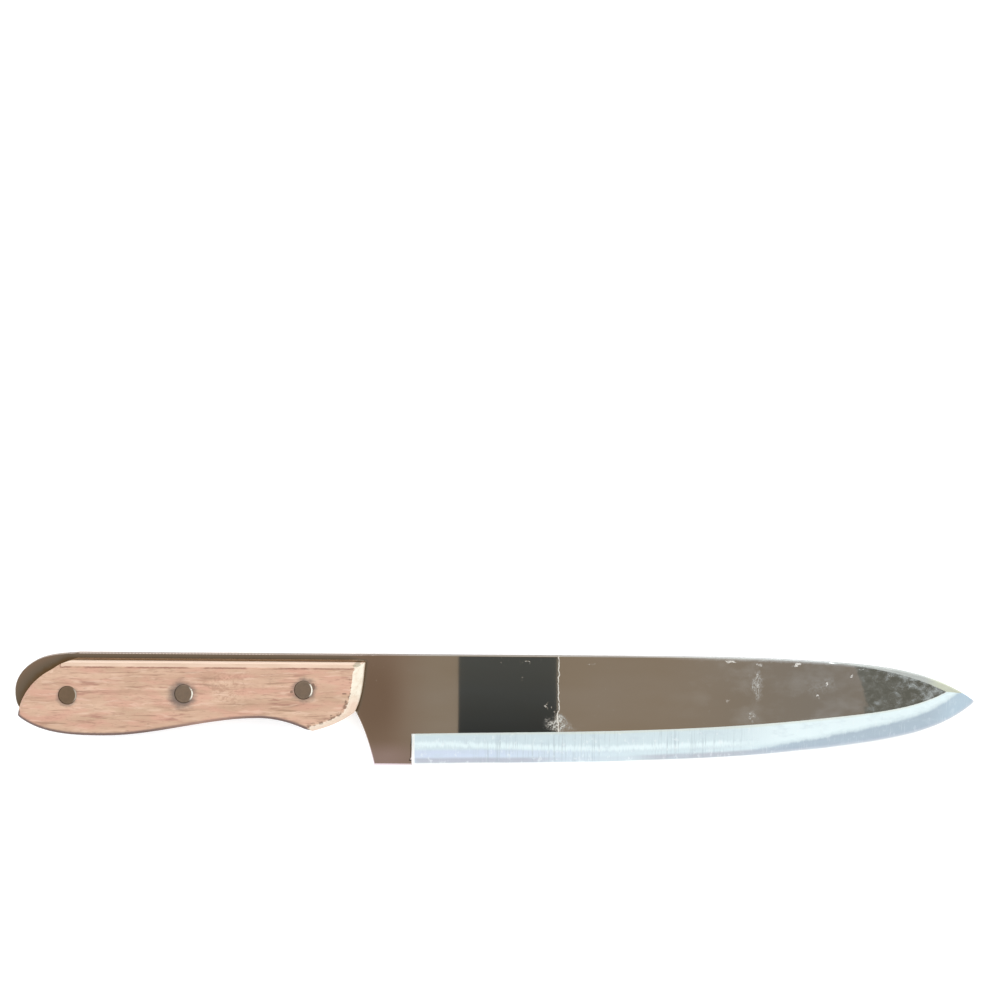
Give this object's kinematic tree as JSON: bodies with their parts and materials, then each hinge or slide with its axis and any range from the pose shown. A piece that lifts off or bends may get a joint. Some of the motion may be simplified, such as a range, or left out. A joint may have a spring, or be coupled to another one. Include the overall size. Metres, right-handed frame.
{
  "type": "carving knife",
  "caption": "Full-tang carving knife with a straight spine, a ground edge bevel and shaped wooden scales riveted through the tang.",
  "frame": {"origin": "middle of the knife's length and height, on the plane that the back scale rests on with the knife lying on its side", "axes": "+X from the butt to the point, +Y from the edge up to the spine, +Z through the thickness from the back scale to the front scale"},
  "size_m": [0.346, 0.0398, 0.0166],
  "materials": {
    "blade_steel": "polished flats with a satin ground bevel",
    "handle_wood": "dry pale hardwood, grain along the handle, sanded edges",
    "rivet_steel": "dull worn rivet heads"
  },
  "bodies": {
    "root": {"blade": "blade_steel", "front_scale": "handle_wood", "back_scale": "handle_wood", "rivet_barrel_1": "rivet_steel", "rivet_barrel_2": "rivet_steel", "rivet_barrel_3": "rivet_steel", "rivet_pin_1": "rivet_steel", "rivet_pin_2": "rivet_steel", "rivet_pin_3": "rivet_steel"}
  },
  "joints": []
}
